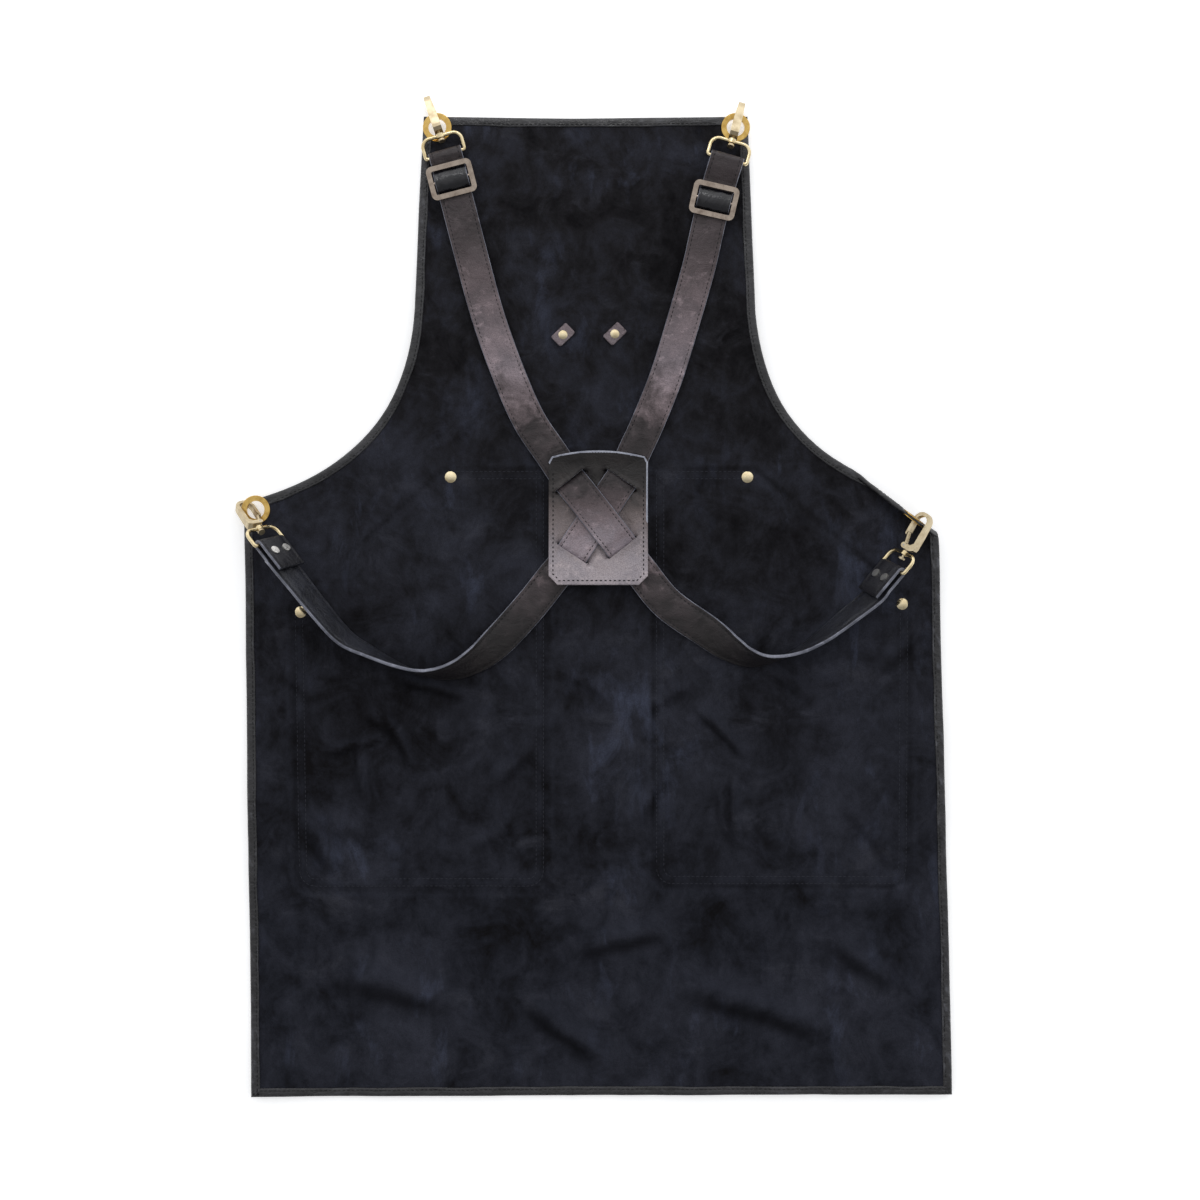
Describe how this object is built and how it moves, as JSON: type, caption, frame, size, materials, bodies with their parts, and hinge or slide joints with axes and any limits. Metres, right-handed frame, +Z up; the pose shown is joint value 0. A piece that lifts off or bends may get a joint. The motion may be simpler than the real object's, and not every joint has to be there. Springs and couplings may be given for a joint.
{
  "type": "leather welding apron",
  "caption": "Full-length leather apron with bound edges, front pockets and a cross-back strap harness that clips to four metal grommets with swivel snap hooks.",
  "frame": {"origin": "on the surface the apron lies on, under the middle of its outline; the pockets' outer faces rest at z = 0", "axes": "+Y from the hem to the bib, +Z up through the inner side, +X to the right seen from the inner side"},
  "size_m": [0.6251, 0.873, 0.0536],
  "materials": {
    "suede": "matt suede nap",
    "binding_leather": "smooth satin",
    "pocket_leather": "smooth satin",
    "strap_leather": "smooth satin with creases",
    "grommet_brass": "polished",
    "rivet_brass": "polished",
    "strap_rivet_steel": "polished",
    "antique_pewter": "antique brushed",
    "ring_brass": "polished",
    "hook_brass": "polished",
    "spring_steel": "plain"
  },
  "bodies": {
    "apron": {"apron_panel": "suede", "binding_hem": "binding_leather", "binding_side_left": "binding_leather", "binding_side_right": "binding_leather", "binding_armhole_left": "binding_leather", "binding_armhole_right": "binding_leather", "binding_top": "binding_leather", "grommet_top_left": "grommet_brass", "grommet_top_right": "grommet_brass", "grommet_side_left": "grommet_brass", "grommet_side_right": "grommet_brass", "grommet_washers": "grommet_brass", "pocket_left": "pocket_leather", "pocket_right": "pocket_leather", "pocket_rivets": "rivet_brass", "bib_tab_left": "pocket_leather", "bib_tab_right": "pocket_leather", "bib_tab_rivets": "rivet_brass", "front_badge": "pocket_leather", "back_patch": "strap_leather", "strap_left": "strap_leather", "strap_right": "strap_leather", "strap_end_rivets": "strap_rivet_steel", "ring_top_left": "ring_brass", "ring_top_right": "ring_brass", "ring_side_left": "ring_brass", "ring_side_right": "ring_brass"},
    "hook_swivel_top_left": {"hook_top_left": "hook_brass", "gate_pin_top_left": "spring_steel", "gate_spring_top_left": "spring_steel"},
    "hook_gate_top_left": {"gate_top_left": "hook_brass"},
    "hook_swivel_top_right": {"hook_top_right": "hook_brass", "gate_pin_top_right": "spring_steel", "gate_spring_top_right": "spring_steel"},
    "hook_gate_top_right": {"gate_top_right": "hook_brass"},
    "hook_swivel_side_left": {"hook_side_left": "hook_brass", "gate_pin_side_left": "spring_steel", "gate_spring_side_left": "spring_steel"},
    "hook_gate_side_left": {"gate_side_left": "hook_brass"},
    "hook_swivel_side_right": {"hook_side_right": "hook_brass", "gate_pin_side_right": "spring_steel", "gate_spring_side_right": "spring_steel"},
    "hook_gate_side_right": {"gate_side_right": "hook_brass"},
    "slide_left": {"slide_frame_left": "antique_pewter", "slide_bar_left": "antique_pewter", "strap_hump_left": "strap_leather"},
    "slide_right": {"slide_frame_right": "antique_pewter", "slide_bar_right": "antique_pewter", "strap_hump_right": "strap_leather"}
  },
  "joints": [
    {"name": "swivel_top_left", "type": "hinge", "parent": "apron", "child": "hook_swivel_top_left", "pos_m": [-0.1349, 0.4022, 0.0159], "axis": [-0.3236, 0.9138, -0.2453], "range_deg": [-6, 6]},
    {"name": "gate_top_left", "type": "hinge", "parent": "hook_swivel_top_left", "child": "hook_gate_top_left", "pos_m": [-0.13666, 0.40717, 0.01147], "axis": [0.9426, 0.3338, 0], "range_deg": [0, 16], "stiffness_Nm_per_rad": 0.02, "springref_deg": -11.46},
    {"name": "swivel_top_right", "type": "hinge", "parent": "apron", "child": "hook_swivel_top_right", "pos_m": [0.1176, 0.3966, 0.0189], "axis": [0.2447, 0.9133, -0.3256], "range_deg": [-10, 10]},
    {"name": "gate_top_right", "type": "hinge", "parent": "hook_swivel_top_right", "child": "hook_gate_top_right", "pos_m": [0.11886, 0.40132, 0.01404], "axis": [0.9659, -0.2588, 0], "range_deg": [0, 30], "stiffness_Nm_per_rad": 0.02, "springref_deg": -11.46},
    {"name": "swivel_side_left", "type": "hinge", "parent": "apron", "child": "hook_swivel_side_left", "pos_m": [-0.2894, 0.0614, 0.0273], "axis": [-0.518, 0.598, -0.6115], "range_deg": [-3, 3]},
    {"name": "gate_side_left", "type": "hinge", "parent": "hook_swivel_side_left", "child": "hook_gate_side_left", "pos_m": [-0.29012, 0.06565, 0.02193], "axis": [0.2053, 0.781, 0.5898], "range_deg": [0, 30], "stiffness_Nm_per_rad": 0.02, "springref_deg": -11.46},
    {"name": "swivel_side_right", "type": "hinge", "parent": "apron", "child": "hook_swivel_side_right", "pos_m": [0.2654, 0.0401, 0.0263], "axis": [0.4812, 0.8681, 0.1219], "range_deg": [-9, 9]},
    {"name": "gate_side_right", "type": "hinge", "parent": "hook_swivel_side_right", "child": "hook_gate_side_right", "pos_m": [0.26638, 0.04684, 0.02528], "axis": [0.5677, -0.2027, -0.7979], "range_deg": [0, 30], "stiffness_Nm_per_rad": 0.02, "springref_deg": -11.46},
    {"name": "slide_left", "type": "slide", "parent": "apron", "child": "slide_left", "axis": [0.2501, -0.9671, -0.0471], "range_m": [0, 0.06]},
    {"name": "slide_right", "type": "slide", "parent": "apron", "child": "slide_right", "axis": [-0.223, -0.9735, -0.0506], "range_m": [0, 0.06]}
  ]
}
